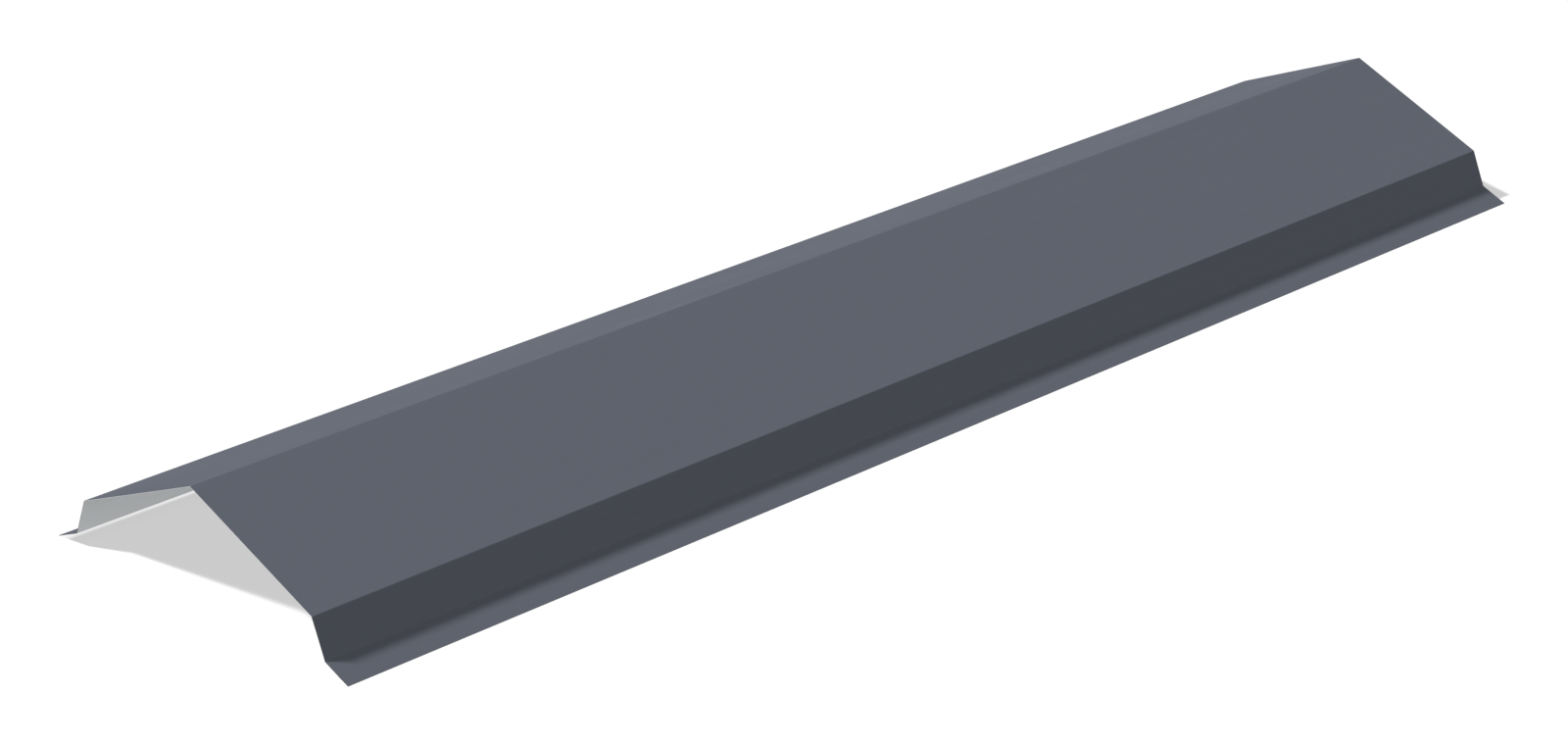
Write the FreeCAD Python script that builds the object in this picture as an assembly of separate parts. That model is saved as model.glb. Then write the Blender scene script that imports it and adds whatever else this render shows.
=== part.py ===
"""A ridge cap folded from one strip of coated sheet steel.

The strip has five folds along its length. One is the ridge. On each side of it a
slope runs down to a riser, which steps down to a fixing flange parallel to the
slope. Seen from the end, every fold is an arc about a centre inside the bend, so
the sheet keeps its thickness all the way round.

Lengths are in millimetres and angles in degrees. X runs across the ridge, Y along
it and Z up. The origin lies on the floor, under the middle of the cap.
"""

import FreeCAD, Part
import math
import os

# Stock
SHEET = 0.6            # thickness of the coated steel
LENGTH = 2000.0        # cut length along the ridge

# Widths on the weather face, from fold line to fold line or to the cut edge
SLOPE_WIDTH = 220.0
RISER_WIDTH = 50.0
FLANGE_WIDTH = 40.0

# Folds
RIDGE_ANGLE = 135.0    # between the undersides of the two slopes
STEP_ANGLE = 135.0     # between a riser and the slope above it or the flange below it
FOLD_RADIUS = 1.5      # on the inside of every fold

# The one piece, and the folder that its file goes to
NODE = "ridge_cap_sheet"
FOLDER = "parts"


def heading_vector(heading):
    """Unit vector in the XZ plane that climbs at the given angle above +X."""
    angle = math.radians(heading)
    return FreeCAD.Vector(math.cos(angle), 0, math.sin(angle))


def inward_vector(heading):
    """Unit vector from the weather face to the underside, square to the heading."""
    return heading_vector(heading - 90.0)


def strip_runs():
    """Flat runs of the weather face, left to right, as (width, heading)."""
    pitch = (180.0 - RIDGE_ANGLE) / 2.0
    riser_pitch = pitch + 180.0 - STEP_ANGLE
    climbing = [
        (FLANGE_WIDTH, pitch),
        (RISER_WIDTH, riser_pitch),
        (SLOPE_WIDTH, pitch),
    ]
    falling = [(width, -heading) for width, heading in reversed(climbing)]
    return climbing + falling


def weather_corners(runs):
    """Sharp corners of the weather face, from the left cut edge to the right one."""
    corners = [FreeCAD.Vector(0, 0, 0)]
    for width, heading in runs:
        corners.append(corners[-1] + heading_vector(heading) * width)
    return corners


def underside_corners(corners, runs):
    """Sharp corners of the underside, one sheet thickness inside the weather face."""
    headings = [heading for _, heading in runs]
    before = headings[:1] + headings
    after = headings + headings[-1:]
    inside = []
    for corner, arriving, leaving in zip(corners, before, after):
        mean = (arriving + leaving) / 2.0
        half_turn = math.radians(leaving - arriving) / 2.0
        inside.append(corner + inward_vector(mean) * (SHEET / math.cos(half_turn)))
    return inside


def fold_radii(runs, underside):
    """Radius of each fold on one face of the sheet.

    A fold that climbs closes towards the weather face, so that face has the inside
    radius there and the underside has one sheet thickness more. A fold that falls
    is the other way round.
    """
    headings = [heading for _, heading in runs]
    radii = []
    for arriving, leaving in zip(headings, headings[1:]):
        outside_of_bend = underside if leaving > arriving else not underside
        radii.append(FOLD_RADIUS + (SHEET if outside_of_bend else 0.0))
    return radii


def rounded_path(corners, radii):
    """Edges along the corners, with each inner corner rounded by a tangent arc."""
    edges = []
    start = corners[0]
    for before, corner, after, radius in zip(corners, corners[1:], corners[2:], radii):
        back = (before - corner).normalize()
        ahead = (after - corner).normalize()
        half_angle = back.getAngle(ahead) / 2.0
        setback = radius / math.tan(half_angle)
        to_centre = (back + ahead).normalize()
        nearest = corner + to_centre * (radius / math.sin(half_angle) - radius)
        arc_start = corner + back * setback
        arc_end = corner + ahead * setback
        edges.append(Part.makeLine(start, arc_start))
        edges.append(Part.Arc(arc_start, nearest, arc_end).toShape())
        start = arc_end
    edges.append(Part.makeLine(start, corners[-1]))
    return edges


def section_face():
    """Cross-section of the folded sheet in the XZ plane, where it starts."""
    runs = strip_runs()
    outer = weather_corners(runs)
    inner = underside_corners(outer, runs)
    edges = rounded_path(outer, fold_radii(runs, underside=False))
    edges.append(Part.makeLine(outer[-1], inner[-1]))
    edges += reversed(rounded_path(inner, fold_radii(runs, underside=True)))
    edges.append(Part.makeLine(inner[0], outer[0]))
    return Part.Face(Part.Wire(edges))


def folded_sheet():
    """The whole cap as one solid, set down with its origin under its middle."""
    solid = section_face().extrude(FreeCAD.Vector(0, LENGTH, 0))
    box = solid.BoundBox
    solid.translate(FreeCAD.Vector(-box.Center.x, -box.Center.y, -box.ZMin))
    return solid


def main():
    """Builds the cap, writes its file and prints its main sizes."""
    sheet = folded_sheet()
    os.makedirs(FOLDER, exist_ok=True)
    sheet.exportStep(os.path.join(FOLDER, NODE + ".step"))
    box = sheet.BoundBox
    developed = sheet.Volume / (SHEET * LENGTH)
    print(f"{NODE}: valid {sheet.isValid()}, {box.XLength:.1f} x {box.YLength:.1f} x {box.ZLength:.1f} mm")
    print(f"developed width {developed:.1f} mm, volume {sheet.Volume / 1000.0:.1f} cm3")


main()
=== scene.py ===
"""A roof ridge cap in coil-coated steel, lying on a pale studio floor.

The cap is one strip of sheet with five folds. A Geometry Nodes tree walks its
section from one cut edge to the other, rounds every fold about a centre inside the
bend, and sweeps the cut edge along it. The sheet that comes out lies exactly where
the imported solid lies, and stands for it.

Lengths are in metres. X runs across the ridge, Y along it and Z up.
"""

import logging
import math
from dataclasses import dataclass, field
from enum import Enum
from typing import Dict, List, Optional, Sequence, Tuple, Union

import bpy
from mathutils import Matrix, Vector


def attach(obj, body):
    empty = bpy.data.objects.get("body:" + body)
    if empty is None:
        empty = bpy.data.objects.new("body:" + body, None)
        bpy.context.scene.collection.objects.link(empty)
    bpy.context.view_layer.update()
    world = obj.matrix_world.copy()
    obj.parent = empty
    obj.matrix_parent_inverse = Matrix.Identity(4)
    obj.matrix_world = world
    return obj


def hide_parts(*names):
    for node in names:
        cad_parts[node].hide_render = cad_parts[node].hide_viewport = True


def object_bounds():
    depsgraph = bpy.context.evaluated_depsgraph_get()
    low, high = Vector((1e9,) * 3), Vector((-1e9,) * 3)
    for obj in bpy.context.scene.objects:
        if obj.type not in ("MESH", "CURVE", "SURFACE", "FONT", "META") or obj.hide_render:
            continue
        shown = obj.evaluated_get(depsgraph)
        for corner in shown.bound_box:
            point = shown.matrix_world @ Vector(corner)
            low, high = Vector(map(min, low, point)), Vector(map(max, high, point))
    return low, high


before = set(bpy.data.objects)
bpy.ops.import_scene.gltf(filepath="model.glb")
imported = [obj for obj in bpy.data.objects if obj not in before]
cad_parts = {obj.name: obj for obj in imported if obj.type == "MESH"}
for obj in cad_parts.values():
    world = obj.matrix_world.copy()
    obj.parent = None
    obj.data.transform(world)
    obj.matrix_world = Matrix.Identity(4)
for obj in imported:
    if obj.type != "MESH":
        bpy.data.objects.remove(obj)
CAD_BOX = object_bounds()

Colour = Tuple[float, float, float]
Grain = Tuple[float, float, float]
Socket = bpy.types.NodeSocket
Feed = Union[Socket, float, int, bool, str, Sequence[float], bpy.types.ID]

MM = 0.001
CAP_NODE = "ridge_cap_sheet"
CAP_BODY = "root"

# What the sheet's mesh carries for its finishes
STRIP_MAP = "strip"          # UV map of the unfolded strip: metres across it, metres along it
STRETCH_AND_SHEEN_MAP = "stretch_and_sheen"      # how far a fold stretches the weather coat, which also sets its painted highlight: 1 in the middle of it, 0 off it
DEPTH_MAP = "depth"          # 0 on the weather face and 1 on the underside, so it grades the cut edge

# Where a noise has nearly all its values, and where it has most of them
WIDE_NOISE = (0.25, 0.75)
MOST_NOISE = (0.3, 0.7)

LOG = logging.getLogger("ridge_cap")


class Side(Enum):
    """The three kinds of surface that the sheet has."""

    WEATHER = "weather_coat"
    UNDERSIDE = "backing_coat"
    CUT = "cut_edge"


class TreeWriter:
    """Short ways to add, feed and join the nodes of one tree."""

    def __init__(self, tree: bpy.types.NodeTree) -> None:
        """Starts on a tree.

        Args:
            tree: The shader or geometry tree to write in.
        """
        self.tree = tree

    def feed(self, socket: Socket, value: Feed) -> None:
        """Links a socket to another one, or sets its own value.

        Args:
            socket: The input to feed.
            value: An output socket to link, or a plain value.
        """
        if isinstance(value, bpy.types.NodeSocket):
            self.tree.links.new(value, socket)
        else:
            socket.default_value = value

    def add(
        self, kind: str, inputs: Optional[Dict[Union[str, int], Feed]] = None, **settings: Union[str, int]
    ) -> bpy.types.Node:
        """Adds a node.

        Args:
            kind: The node's type name.
            inputs: What its inputs are fed, by socket name or number.
            **settings: Its settings, set before the inputs are fed.

        Returns:
            The new node.
        """
        node = self.tree.nodes.new(kind)
        for name, value in settings.items():
            setattr(node, name, value)
        for key, value in (inputs or {}).items():
            self.feed(node.inputs[key], value)
        return node

    def maths(self, operation: str, first: Feed, second: Feed = 0.0, third: Feed = 0.0) -> Socket:
        """Adds one step of arithmetic.

        Args:
            operation: The Math node's operation.
            first: First operand.
            second: Second operand, where the operation has one.
            third: Third operand, where the operation has one.

        Returns:
            The result.
        """
        inputs = {0: first, 1: second, 2: third}
        return self.add("ShaderNodeMath", inputs, operation=operation).outputs[0]

    def vectors(
        self, operation: str, first: Feed, second: Feed = (0.0, 0.0, 0.0), scale: Feed = 1.0
    ) -> Socket:
        """Adds one step of vector arithmetic.

        Args:
            operation: The Vector Math node's operation.
            first: First operand.
            second: Second operand, where the operation has one.
            scale: Factor, where the operation has one.

        Returns:
            The result, a number for a dot product and a vector otherwise.
        """
        node = self.add("ShaderNodeVectorMath", {0: first, 1: second, 3: scale}, operation=operation)
        return node.outputs["Value" if operation == "DOT_PRODUCT" else "Vector"]

    def axis(self, vector: Socket, name: str) -> Socket:
        """Takes one coordinate out of a vector."""
        return self.add("ShaderNodeSeparateXYZ", {"Vector": vector}).outputs[name]

    def is_less(self, first: Feed, second: Feed) -> Socket:
        """Tells whether one number is smaller than another."""
        return self.add("FunctionNodeCompare", {"A": first, "B": second}, operation="LESS_THAN").outputs[0]

    def by_index(self, index: Socket, values: Sequence[Feed]) -> Socket:
        """Adds a switch that gives one number for each index.

        Args:
            index: The index.
            values: The numbers, from index 0 up.

        Returns:
            The number for the index.
        """
        node = self.tree.nodes.new("GeometryNodeIndexSwitch")
        node.data_type = "FLOAT"
        while len(node.index_switch_items) < len(values):
            node.index_switch_items.new()
        self.feed(node.inputs["Index"], index)
        for number, value in enumerate(values):
            self.feed(node.inputs[str(number)], value)
        return node.outputs[0]

    def capture(self, geometry: Socket, fields: Dict[str, Tuple[str, Socket]]) -> bpy.types.Node:
        """Adds a node that keeps fields as they are on a geometry, for use further down the tree.

        Args:
            geometry: The geometry.
            fields: Kind and value of each field, by name.

        Returns:
            The node, which gives out the geometry and each field by its name.
        """
        node = self.tree.nodes.new("GeometryNodeCaptureAttribute")
        for name, (kind, _) in fields.items():
            node.capture_items.new(kind, name)
        self.feed(node.inputs["Geometry"], geometry)
        for name, (_, value) in fields.items():
            self.feed(node.inputs[name], value)
        return node

    def store(self, geometry: Socket, name: str, value: Socket, kind: str, domain: str) -> Socket:
        """Adds a node that writes a field on a mesh under a name that materials can read.

        Args:
            geometry: The mesh.
            name: Name of the attribute.
            value: The field.
            kind: Data type of the attribute.
            domain: Part of the mesh that carries it.

        Returns:
            The mesh.
        """
        inputs = {"Geometry": geometry, "Name": name}
        node = self.add("GeometryNodeStoreNamedAttribute", inputs, data_type=kind, domain=domain)
        self.feed(node.inputs["Value"], value)
        return node.outputs[0]

    def noise(self, place: Socket, grain: Grain, detail: float) -> Socket:
        """Adds a noise whose grain is given in metres.

        Args:
            place: Where the noise is read, in metres.
            grain: Size of the grain along each axis.
            detail: Number of octaves.

        Returns:
            The noise, from 0 to 1 about 0.5.
        """
        frequency = tuple(1.0 / size for size in grain)
        scaled = self.vectors("MULTIPLY", place, frequency)
        inputs = {"Vector": scaled, "Scale": 1.0, "Detail": detail, "Roughness": 0.5}
        return self.add("ShaderNodeTexNoise", inputs, noise_dimensions="3D").outputs["Fac"]

    def spread(self, source: Socket, low: Feed, high: Feed, start: float = 0.0, end: float = 1.0) -> Socket:
        """Maps a number from one range to another, without going past the ends.

        Args:
            source: The number.
            low: Result at the start of its range.
            high: Result at the end of its range.
            start: Start of its range.
            end: End of its range.

        Returns:
            The mapped number.
        """
        inputs = {"Value": source, "From Min": start, "From Max": end, "To Min": low, "To Max": high}
        return self.add("ShaderNodeMapRange", inputs, clamp=True).outputs["Result"]

    def around(
        self, source: Socket, middle: float, change: float, start: float = 0.0, end: float = 1.0
    ) -> Socket:
        """Maps a number to a range that reaches equally far below and above a middle value."""
        return self.spread(source, middle - change, middle + change, start, end)


def shades(writer: TreeWriter, amount: Socket, colour: Colour, change: float) -> Socket:
    """Makes a colour a little darker and lighter with a number.

    Args:
        writer: Writer of the material's tree.
        amount: The number, from 0 to 1 about 0.5.
        colour: The colour in the middle.
        change: Share that the colour loses at 0 and gains at 1.

    Returns:
        The colour.
    """
    return writer.vectors("SCALE", colour, scale=writer.around(amount, 1.0, change))


def new_material(name: str) -> Tuple[bpy.types.Material, TreeWriter, bpy.types.Node]:
    """Makes an empty material with a Principled shader.

    Args:
        name: The material's name.

    Returns:
        The material, the writer of its tree and its shader node.
    """
    material = bpy.data.materials.new(name)
    material.use_nodes = True
    material.node_tree.nodes.clear()
    writer = TreeWriter(material.node_tree)
    shader = writer.add("ShaderNodeBsdfPrincipled")
    writer.add("ShaderNodeOutputMaterial", {"Surface": shader.outputs[0]})
    return material, writer, shader


@dataclass(frozen=True)
class WeatherCoat:
    """The satin polyester coat on the weather side, rolled on before the sheet was folded."""

    colour: Colour = (0.107, 0.117, 0.143)
    roughness: float = 0.78
    specular: float = 0.03
    shade_change: float = 0.06          # share of the colour that streaks and grain take or add
    roughness_change: float = 0.06
    stretch_paling: float = 0.18        # what the folds add to the colour, as a share, and to the roughness; the lighter colour is partly the paler stretched coat and partly a painted highlight along the ridge and shoulders
    stretch_dulling: float = 0.10
    least_stretch: float = 0.6          # share of that between the fine cracks of the stretched coat
    streak_grain: Grain = (6.0 * MM, 900.0 * MM, MM)
    fine_grain: Grain = (0.7 * MM, 0.7 * MM, MM)
    cloud_grain: Grain = (90.0 * MM, 260.0 * MM, MM)
    crack_grain: Grain = (0.3 * MM, 1.6 * MM, MM)
    peel_grain: Grain = (2.2 * MM, 2.8 * MM, MM)
    peel_height: float = 0.012 * MM
    grain_in_peel: float = 0.35

    def make(self) -> bpy.types.Material:
        """Builds the material.

        Returns:
            The material.
        """
        material, writer, shader = new_material(Side.WEATHER.value)
        strip = writer.add("ShaderNodeUVMap", uv_map=STRIP_MAP).outputs["UV"]
        streaks = writer.noise(strip, self.streak_grain, detail=3.0)
        grain = writer.noise(strip, self.fine_grain, detail=2.0)
        clouds = writer.noise(strip, self.cloud_grain, detail=2.0)
        mixed = writer.maths("MULTIPLY_ADD", streaks, 0.5, writer.maths("MULTIPLY", grain, 0.5))
        even = shades(writer, mixed, self.colour, self.shade_change)

        cracks = writer.noise(strip, self.crack_grain, detail=2.0)
        stretch_and_sheen = writer.add("ShaderNodeAttribute", attribute_name=STRETCH_AND_SHEEN_MAP).outputs["Fac"]
        cracked = writer.spread(cracks, self.least_stretch, 1.0, *MOST_NOISE)
        stretch_and_sheen = writer.maths("MULTIPLY", stretch_and_sheen, cracked)
        # The convex folds come out lighter: partly the paler stretched coat, partly a painted highlight along
        # the ridge and shoulders.
        pale_and_sheen_gain = writer.maths("MULTIPLY_ADD", stretch_and_sheen, self.stretch_paling, 1.0)
        writer.feed(shader.inputs["Base Color"], writer.vectors("SCALE", even, scale=pale_and_sheen_gain))

        rough = writer.around(clouds, self.roughness, self.roughness_change, *WIDE_NOISE)
        rough = writer.maths("MULTIPLY_ADD", stretch_and_sheen, self.stretch_dulling, rough)
        writer.feed(shader.inputs["Roughness"], rough)
        shader.inputs["Specular IOR Level"].default_value = self.specular

        peel = writer.noise(strip, self.peel_grain, detail=1.0)
        height = writer.maths("MULTIPLY_ADD", grain, self.grain_in_peel, peel)
        bump = writer.add("ShaderNodeBump", {"Strength": 1.0, "Distance": self.peel_height, "Height": height})
        writer.feed(shader.inputs["Normal"], bump.outputs["Normal"])
        return material


@dataclass(frozen=True)
class BackingCoat:
    """The thin light grey coat on the underside."""

    colour: Colour = (0.663, 0.683, 0.697)
    roughness: float = 0.60
    specular: float = 0.20
    shade_change: float = 0.05
    streak_grain: Grain = (4.0 * MM, 500.0 * MM, MM)

    def make(self) -> bpy.types.Material:
        """Builds the material.

        Returns:
            The material.
        """
        material, writer, shader = new_material(Side.UNDERSIDE.value)
        strip = writer.add("ShaderNodeUVMap", uv_map=STRIP_MAP).outputs["UV"]
        streaks = writer.noise(strip, self.streak_grain, detail=4.0)
        writer.feed(shader.inputs["Base Color"], shades(writer, streaks, self.colour, self.shade_change))
        shader.inputs["Roughness"].default_value = self.roughness
        shader.inputs["Specular IOR Level"].default_value = self.specular
        return material


@dataclass(frozen=True)
class ShearedEdge:
    """The cut through the sheet.

    The shear drew the coat down over a part of it and left bright zinc below. Below the shoulders the coat's
    colour covers all of the cut, so it is darker towards the floor.
    """

    shoulder_height: float              # from the floor to where a riser meets its slope
    zinc: Colour = (0.84, 0.86, 0.90)
    # darker than the weather coat's colour
    coat: Colour = (0.075, 0.082, 0.100)
    roughness: float = 0.45
    roughness_change: float = 0.10
    specular: float = 0.10
    drawn_on_slopes: float = 0.6        # share of the sheet's thickness that the coat is drawn over
    drawn_below: float = 1.3            # the same below the shoulders, on the risers and flanges, where the coat's colour covers all of the cut
    raggedness: float = 0.15            # how far that share goes up and down along the cut
    blend: float = 0.05                 # half the width of the change from coat to zinc, as such a share
    shoulder_blend: float = 0.5 * MM    # half the height over which one share turns into the other
    shade_change: float = 0.15
    mark_grain: Grain = (0.4 * MM, 0.4 * MM, 0.4 * MM)

    def make(self) -> bpy.types.Material:
        """Builds the material.

        Returns:
            The material.
        """
        material, writer, shader = new_material(Side.CUT.value)
        place = writer.add("ShaderNodeTexCoord").outputs["Object"]
        marks = writer.noise(place, self.mark_grain, detail=2.0)

        below, above = self.shoulder_height - self.shoulder_blend, self.shoulder_height + self.shoulder_blend
        height = writer.axis(place, "Z")
        drawn_to = writer.spread(height, self.drawn_below, self.drawn_on_slopes, below, above)
        drawn_to = writer.maths("ADD", drawn_to, writer.around(marks, 0.0, self.raggedness, *MOST_NOISE))
        depth = writer.add("ShaderNodeAttribute", attribute_name=DEPTH_MAP).outputs["Fac"]
        past = writer.maths("SUBTRACT", depth, drawn_to)
        bare = writer.spread(past, 0.0, 1.0, -self.blend, self.blend)
        coated = writer.maths("SUBTRACT", 1.0, bare)

        zinc = writer.vectors("SCALE", shades(writer, marks, self.zinc, self.shade_change), scale=bare)
        coat = writer.vectors("SCALE", self.coat, scale=coated)
        writer.feed(shader.inputs["Base Color"], writer.vectors("ADD", zinc, coat))
        writer.feed(shader.inputs["Metallic"], bare)
        shader.inputs["Specular IOR Level"].default_value = self.specular
        writer.feed(shader.inputs["Roughness"], writer.around(marks, self.roughness, self.roughness_change))
        return material


@dataclass
class RidgeCap:
    """The folded sheet. Its widths are those of the weather face, from fold line to fold line."""

    length: float
    sheet: float = 0.6 * MM
    slope_width: float = 220.0 * MM
    riser_width: float = 50.0 * MM
    flange_width: float = 40.0 * MM
    pitch: float = math.radians(22.5)
    riser_pitch: float = math.radians(67.5)
    fold_radius: float = 1.5 * MM       # on the inside of every fold
    fold_steps: int = 12                # flat strips that stand for one fold
    edge_facing: float = 0.5            # a face that points outward or inward by less is part of the cut
    materials: Dict[Side, bpy.types.Material] = field(default_factory=dict)

    def shoulder_height(self) -> float:
        """Adds up how far a flange and a riser climb from the floor."""
        return self.flange_width * math.sin(self.pitch) + self.riser_width * math.sin(self.riser_pitch)

    def dress(self) -> None:
        """Makes the finish of each side of the sheet."""
        cut = ShearedEdge(self.shoulder_height())
        finishes = {Side.WEATHER: WeatherCoat(), Side.UNDERSIDE: BackingCoat(), Side.CUT: cut}
        self.materials = {side: finish.make() for side, finish in finishes.items()}

    def tree_inputs(self) -> List[Tuple[str, str, Feed]]:
        """Lists the tree's inputs.

        Returns:
            Name, socket type and value of each input.
        """
        number, count, material = "NodeSocketFloat", "NodeSocketInt", "NodeSocketMaterial"
        return [
            ("Length", number, self.length),
            ("Sheet", number, self.sheet),
            ("Slope Width", number, self.slope_width),
            ("Riser Width", number, self.riser_width),
            ("Flange Width", number, self.flange_width),
            ("Pitch", number, self.pitch),
            ("Riser Pitch", number, self.riser_pitch),
            ("Fold Radius", number, self.fold_radius),
            ("Fold Steps", count, self.fold_steps),
            ("Weather Coat", material, self.materials[Side.WEATHER]),
            ("Backing Coat", material, self.materials[Side.UNDERSIDE]),
            ("Cut Edge", material, self.materials[Side.CUT]),
        ]

    def section_path(self, writer: TreeWriter, given: Dict[str, Socket]) -> Tuple[Socket, Socket]:
        """Walks the weather face's section from the left cut edge to the right one.

        Args:
            writer: Writer of the tree.
            given: The tree's inputs by name.

        Returns:
            The section as a curve with its folds rounded, and how far each fold stretches the weather coat,
            which also sets the painted highlight on the convex folds.
        """
        slope, riser, flange = given["Slope Width"], given["Riser Width"], given["Flange Width"]
        up, up_riser = given["Pitch"], given["Riser Pitch"]
        down, down_riser = writer.maths("MULTIPLY", up, -1.0), writer.maths("MULTIPLY", up_riser, -1.0)
        index = writer.add("GeometryNodeInputIndex").outputs[0]
        widths = [flange, riser, slope, slope, riser, flange, 0.0]
        width = writer.by_index(index, widths)
        heading = writer.by_index(index, [up, up_riser, up, down, down_riser, down, 0.0])
        across = writer.maths("MULTIPLY", width, writer.maths("COSINE", heading))
        rise = writer.maths("MULTIPLY", width, writer.maths("SINE", heading))
        step = writer.add("ShaderNodeCombineXYZ", {"X": across, "Z": rise}).outputs[0]
        walked = writer.add("GeometryNodeAccumulateField", {"Value": step}, data_type="FLOAT_VECTOR")
        corners = writer.add("GeometryNodeMeshLine", {"Count": len(widths), "Offset": (0.0, 0.0, 0.0)})
        inputs = {"Geometry": corners.outputs[0], "Position": walked.outputs["Trailing"]}
        placed = writer.add("GeometryNodeSetPosition", inputs)
        is_convex = writer.by_index(index, [0.0, 0.0, 1.0, 1.0, 1.0, 0.0, 0.0])
        marked = writer.capture(placed.outputs[0], {"Convex": ("FLOAT", is_convex)})
        line = writer.add("GeometryNodeMeshToCurve", {"Mesh": marked.outputs["Geometry"]})

        inside = given["Fold Radius"]
        outside = writer.maths("ADD", inside, given["Sheet"])
        radius = writer.by_index(index, [0.0, inside, outside, outside, outside, inside, 0.0])
        rounded = writer.add(
            "GeometryNodeFilletCurve",
            {"Curve": line.outputs[0], "Count": given["Fold Steps"], "Radius": radius, "Limit Radius": False},
            mode="POLY",
        )
        upright = writer.add("GeometryNodeSetCurveNormal", {"Curve": rounded.outputs[0]}, mode="Z_UP")

        after_end = writer.maths("SUBTRACT", index, 1.0)
        in_fold = writer.maths("MODULO", after_end, writer.maths("ADD", given["Fold Steps"], 1.0))
        share = writer.maths("DIVIDE", in_fold, given["Fold Steps"])
        hump = writer.maths("SINE", writer.maths("MULTIPLY", share, math.pi))
        return upright.outputs[0], writer.maths("MULTIPLY", hump, marked.outputs["Convex"])

    def cut_profile(self, writer: TreeWriter, given: Dict[str, Socket]) -> bpy.types.Node:
        """Draws the cut edge, as long as the cap and as thick as the sheet, with the weather face at its top.

        Args:
            writer: Writer of the tree.
            given: The tree's inputs by name.

        Returns:
            A node that gives out the profile and the depth in the sheet.
        """
        sheet = given["Sheet"]
        inputs = {"Width": given["Length"], "Height": sheet}
        cut = writer.add("GeometryNodeCurvePrimitiveQuadrilateral", inputs)
        half = writer.maths("MULTIPLY", sheet, 0.5)
        shift = writer.add("ShaderNodeCombineXYZ", {"Y": half}).outputs[0]
        below = writer.add("GeometryNodeSetPosition", {"Geometry": cut.outputs[0], "Offset": shift})
        down = writer.axis(writer.add("GeometryNodeInputPosition").outputs[0], "Y")
        return writer.capture(below.outputs[0], {"Depth": ("FLOAT", writer.maths("DIVIDE", down, sheet))})

    def set_down(self, writer: TreeWriter, sheet: Socket) -> Socket:
        """Puts the origin on the floor under the middle of the sheet.

        Args:
            writer: Writer of the tree.
            sheet: The folded sheet.

        Returns:
            The sheet in its place.
        """
        box = writer.add("GeometryNodeBoundBox", {"Geometry": sheet}).outputs
        middle = writer.vectors("SCALE", writer.vectors("ADD", box["Min"], box["Max"]), scale=-0.5)
        lift = writer.maths("MULTIPLY", writer.axis(box["Min"], "Z"), -1.0)
        inputs = {"X": writer.axis(middle, "X"), "Y": writer.axis(middle, "Y"), "Z": lift}
        move = writer.add("ShaderNodeCombineXYZ", inputs).outputs[0]
        return writer.add("GeometryNodeSetPosition", {"Geometry": sheet, "Offset": move}).outputs[0]

    def finish(self, writer: TreeWriter, given: Dict[str, Socket], sheet: Socket, outward: Socket) -> Socket:
        """Shades the folds smooth and gives each side of the sheet its material.

        Args:
            writer: Writer of the tree.
            given: The tree's inputs by name.
            sheet: The sheet in its place.
            outward: Direction square to the sheet, out of its weather face.

        Returns:
            The finished sheet.
        """
        normal = writer.add("GeometryNodeInputNormal").outputs["Normal"]
        facing = writer.vectors("DOT_PRODUCT", normal, outward)
        is_under = writer.is_less(facing, -self.edge_facing)
        is_cut = writer.is_less(writer.maths("ABSOLUTE", facing), self.edge_facing)
        area = writer.add("GeometryNodeInputMeshFaceArea").outputs[0]
        is_narrow = writer.is_less(area, writer.maths("MULTIPLY", given["Length"], given["Fold Radius"]))
        is_bent = writer.add("FunctionNodeBooleanMath", {0: is_narrow, 1: is_cut}, operation="NIMPLY")
        inputs = {"Geometry": sheet, "Shade Smooth": is_bent.outputs[0]}
        shaded = writer.add("GeometryNodeSetShadeSmooth", inputs)
        geometry = writer.add("GeometryNodeRealizeInstances", {"Geometry": shaded.outputs[0]}).outputs[0]
        for selection, name in ((True, "Weather Coat"), (is_under, "Backing Coat"), (is_cut, "Cut Edge")):
            inputs = {"Geometry": geometry, "Selection": selection, "Material": given[name]}
            geometry = writer.add("GeometryNodeSetMaterial", inputs).outputs[0]
        return geometry

    def write_tree(self) -> bpy.types.NodeTree:
        """Writes the tree that folds the sheet.

        Returns:
            The tree.
        """
        tree = bpy.data.node_groups.new("folded_sheet", "GeometryNodeTree")
        for name, kind, _ in self.tree_inputs():
            tree.interface.new_socket(name=name, in_out="INPUT", socket_type=kind)
        tree.interface.new_socket(name="Geometry", in_out="OUTPUT", socket_type="NodeSocketGeometry")
        writer = TreeWriter(tree)
        given = {socket.name: socket for socket in writer.add("NodeGroupInput").outputs if socket.name}

        path, stretch_and_sheen = self.section_path(writer, given)
        tangent = writer.add("GeometryNodeInputTangent").outputs[0]
        outward = writer.vectors("CROSS_PRODUCT", tangent, (0.0, 1.0, 0.0))
        walked = writer.add("GeometryNodeSplineParameter").outputs["Length"]
        fields = {"Outward": ("VECTOR", outward), "Walked": ("FLOAT", walked), "Stretch": ("FLOAT", stretch_and_sheen)}
        rail = writer.capture(path, fields).outputs
        profile = self.cut_profile(writer, given).outputs
        inputs = {"Curve": rail["Geometry"], "Profile Curve": profile["Geometry"], "Fill Caps": True}
        swept = writer.add("GeometryNodeCurveToMesh", inputs).outputs[0]
        sheet = self.set_down(writer, swept)

        along = writer.axis(writer.add("GeometryNodeInputPosition").outputs[0], "Y")
        spot = writer.add("ShaderNodeCombineXYZ", {"X": rail["Walked"], "Y": along}).outputs[0]
        sheet = writer.store(sheet, STRIP_MAP, spot, "FLOAT2", "CORNER")
        sheet = writer.store(sheet, STRETCH_AND_SHEEN_MAP, rail["Stretch"], "FLOAT", "POINT")
        sheet = writer.store(sheet, DEPTH_MAP, profile["Depth"], "FLOAT", "POINT")
        writer.add("NodeGroupOutput", {"Geometry": self.finish(writer, given, sheet, rail["Outward"])})
        return tree

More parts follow.
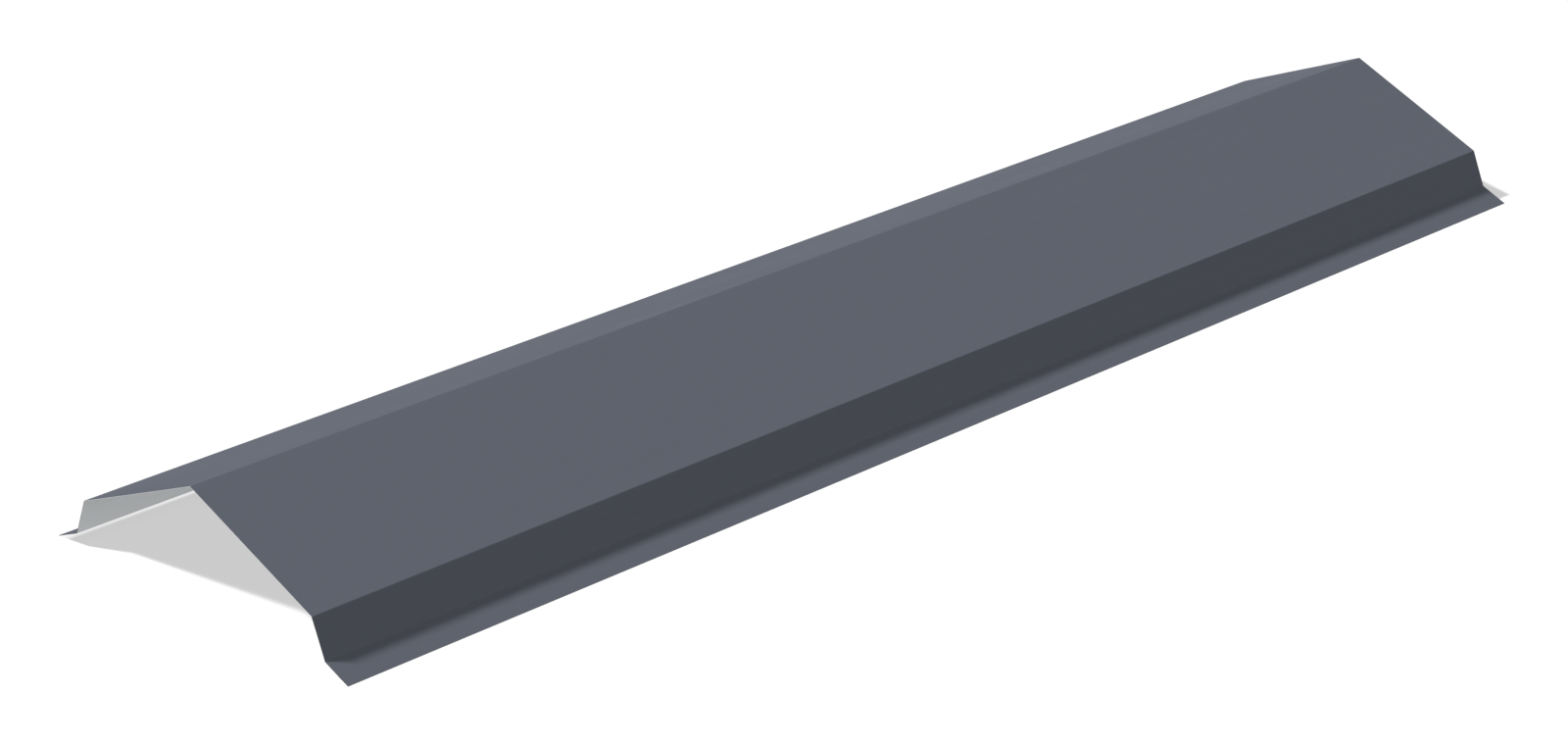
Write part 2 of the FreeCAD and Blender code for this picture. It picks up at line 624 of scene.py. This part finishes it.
    def build(self) -> bpy.types.Object:
        """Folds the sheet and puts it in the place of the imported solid.

        Returns:
            The sheet as a plain mesh object.
        """
        tree = self.write_tree()
        seed = bpy.data.objects.new("folded_sheet_seed", bpy.data.meshes.new("folded_sheet_seed"))
        bpy.context.scene.collection.objects.link(seed)
        modifier = seed.modifiers.new("folded_sheet", "NODES")
        modifier.node_group = tree
        sockets = tree.interface.items_tree
        identifiers = {item.name: item.identifier for item in sockets if item.in_out == "INPUT"}
        for name, _, value in self.tree_inputs():
            modifier[identifiers[name]] = value
        seed.update_tag()
        graph = bpy.context.evaluated_depsgraph_get()
        folded = seed.evaluated_get(graph)
        mesh = bpy.data.meshes.new_from_object(folded, preserve_all_data_layers=True, depsgraph=graph)
        mesh.name = "coated_ridge_cap"
        sheet = bpy.data.objects.new("coated_ridge_cap", mesh)
        bpy.context.scene.collection.objects.link(sheet)
        bpy.data.objects.remove(seed)
        return sheet


@dataclass
class Studio:
    """The pale floor and the lamps.

    The floor glows as a lit table does, and a lamp of its own takes it up to white,
    so the shadow on it is one even grey. The sky gives the cap its soft light, and a
    panel lights the hollow under it. A level is what a white surface square to the
    lamp would show.
    """

    key_to: Vector = field(default_factory=lambda: Vector((0.630, 0.539, -1.0)))
    key_level: float = 1.08
    key_angle: float = math.radians(7.0)
    sky_middle: float = 0.05
    sky_slant: Tuple[float, float, float] = (1.03, 0.0, 0.24)
    floor_glow: float = 0.57
    floor_albedo: float = 0.08
    floor_bounce: float = 0.03
    floor_lamp_to: Vector = field(default_factory=lambda: Vector((0.657, 0.5245, -1.0)))
    floor_lamp_level: float = 6.6
    floor_lamp_angle: float = math.radians(4.0)
    floor_size: float = 120.0
    gap_height: float = 6.8 * MM        # under a flange lower than this, the floor stays lit
    gap_glow: float = 0.46
    gap_samples: int = 16
    panel_height: float = 1.0 * MM
    panel_size: Tuple[float, float] = (0.45, 2.14)
    panel_level: float = 0.570

    def seen_as_white(self, writer: TreeWriter) -> Socket:
        """Tells the rays that carry a picture from those that carry light.

        Args:
            writer: Writer of the tree.

        Returns:
            1 for camera, glossy and transmission rays, 0 for others.
        """
        path = writer.add("ShaderNodeLightPath").outputs
        seen = writer.maths("MAXIMUM", path["Is Camera Ray"], path["Is Glossy Ray"])
        return writer.maths("MAXIMUM", seen, path["Is Transmission Ray"])

    def floor_material(self) -> bpy.types.Material:
        """Makes the floor's finish, which stays lit where the flanges nearly touch it.

        Returns:
            The material.
        """
        material = bpy.data.materials.new("studio_floor")
        material.use_nodes = True
        material.node_tree.nodes.clear()
        writer = TreeWriter(material.node_tree)
        share = writer.spread(self.seen_as_white(writer), self.floor_bounce, 1.0)
        albedo = writer.maths("MULTIPLY", share, self.floor_albedo)
        matt = writer.add("ShaderNodeBsdfDiffuse", {"Color": albedo})
        inputs = {"Distance": self.gap_height}
        open_air = writer.add("ShaderNodeAmbientOcclusion", inputs, samples=self.gap_samples).outputs["AO"]
        level = writer.spread(open_air, self.floor_glow + self.gap_glow, self.floor_glow)
        glow = writer.add("ShaderNodeEmission", {"Strength": writer.maths("MULTIPLY", share, level)})
        both = writer.add("ShaderNodeAddShader", {0: matt.outputs[0], 1: glow.outputs[0]})
        writer.add("ShaderNodeOutputMaterial", {"Surface": both.outputs[0]})
        material.cycles.emission_sampling = "NONE"
        return material

    def add_floor(self) -> bpy.types.Object:
        """Makes the floor.

        Returns:
            The floor.
        """
        half = self.floor_size / 2.0
        corners = [(-half, -half, 0.0), (half, -half, 0.0), (half, half, 0.0), (-half, half, 0.0)]
        mesh = bpy.data.meshes.new("studio_floor")
        mesh.from_pydata(corners, [], [(0, 1, 2, 3)])
        mesh.materials.append(self.floor_material())
        floor = bpy.data.objects.new("studio_floor", mesh)
        bpy.context.scene.collection.objects.link(floor)
        return floor

    def add_sun(self, name: str, heading: Vector, level: float, angle: float) -> bpy.types.Object:
        """Adds a far lamp.

        Args:
            name: The lamp's name.
            heading: Where its light goes.
            level: What a white surface square to it would show.
            angle: Its width as seen from the cap.

        Returns:
            The lamp.
        """
        lamp = bpy.data.lights.new(name, "SUN")
        lamp.energy = math.pi * level
        lamp.angle = angle
        holder = bpy.data.objects.new(name, lamp)
        holder.rotation_mode = "QUATERNION"
        holder.rotation_quaternion = heading.to_track_quat("-Z", "Y")
        bpy.context.scene.collection.objects.link(holder)
        return holder

    def add_panel(self) -> None:
        """Adds a light panel on the floor in the hollow, which lights the underside and isn't seen itself."""
        lamp = bpy.data.lights.new("hollow_panel", "AREA")
        lamp.shape = "RECTANGLE"
        lamp.size, lamp.size_y = self.panel_size
        lamp.energy = math.pi * self.panel_level * lamp.size * lamp.size_y
        holder = bpy.data.objects.new("hollow_panel", lamp)
        holder.location.z = self.panel_height
        holder.rotation_euler.x = math.pi
        holder.visible_camera = False
        holder.visible_glossy = False
        bpy.context.scene.collection.objects.link(holder)

    def add_sky(self) -> None:
        """Makes the even light from all round, which looks white in pictures and reflections."""
        world = bpy.data.worlds.new("studio")
        world.use_nodes = True
        world.node_tree.nodes.clear()
        writer = TreeWriter(world.node_tree)
        heading = writer.add("ShaderNodeTexCoord").outputs["Generated"]
        slant = writer.vectors("DOT_PRODUCT", heading, self.sky_slant)
        level = writer.maths("ADD", slant, self.sky_middle)
        strength = writer.maths("MAXIMUM", level, self.seen_as_white(writer))
        sky = writer.add("ShaderNodeBackground", {"Color": (1.0, 1.0, 1.0, 1.0), "Strength": strength})
        writer.add("ShaderNodeOutputWorld", {"Surface": sky.outputs[0]})
        world.cycles.sampling_method = "NONE"
        bpy.context.scene.world = world

    def build(self) -> None:
        """Builds the floor and the lamps."""
        floor = self.add_floor()
        self.add_sun("key_lamp", self.key_to, self.key_level, self.key_angle)
        beam = (self.floor_lamp_to, self.floor_lamp_level, self.floor_lamp_angle)
        floor_lamp = self.add_sun("floor_lamp", *beam)
        only_floor = bpy.data.collections.new("floor_lamp_receivers")
        only_floor.objects.link(floor)
        floor_lamp.light_linking.receiver_collection = only_floor
        self.add_panel()
        self.add_sky()
        bpy.context.scene.view_settings.view_transform = "Standard"


@dataclass(frozen=True)
class PhotoCamera:
    """The camera where the photograph was taken from."""

    azimuth: float = math.radians(45.0)
    elevation: float = math.radians(22.235)
    distance: float = 5.164
    lens: float = 95.93                 # this and the sensor are in millimetres, as Blender takes them
    sensor: float = 36.0
    shift: Tuple[float, float] = (-0.0415, -0.0464)     # shares of the picture's width

    def build(self, centre: Vector) -> bpy.types.Object:
        """Makes the camera and points it at the cap.

        Args:
            centre: Middle of the cap's box.

        Returns:
            The camera.
        """
        level = math.cos(self.elevation)
        across, ahead = math.sin(self.azimuth) * level, math.cos(self.azimuth) * level
        back = Vector((across, -ahead, math.sin(self.elevation)))
        data = bpy.data.cameras.new("photo_camera")
        data.lens = self.lens
        data.sensor_width = self.sensor
        data.shift_x, data.shift_y = self.shift
        camera = bpy.data.objects.new("photo_camera", data)
        camera.location = centre + back * self.distance
        camera.rotation_mode = "QUATERNION"
        camera.rotation_quaternion = (-back).to_track_quat("-Z", "Y")
        bpy.context.scene.collection.objects.link(camera)
        bpy.context.scene.camera = camera
        return camera


def main() -> None:
    """Builds the cap, the studio and the camera, and reports each piece."""
    logging.basicConfig(level=logging.INFO, format="%(name)s: %(message)s")
    low, high = CAD_BOX
    cap = RidgeCap(length=high.y - low.y)
    cap.dress()
    sheet = cap.build()
    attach(sheet, CAP_BODY)
    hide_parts(CAP_NODE)
    faces, materials = len(sheet.data.polygons), len(sheet.data.materials)
    LOG.info("%s: %d faces, %d materials", sheet.name, faces, materials)

    Studio().build()
    LOG.info("studio: floor, key lamp, floor lamp, hollow panel and sky")

    place = PhotoCamera()
    camera = place.build((low + high) / 2.0)
    LOG.info("%s: %.3f m away", camera.name, place.distance)


if __name__ == "__main__":
    main()
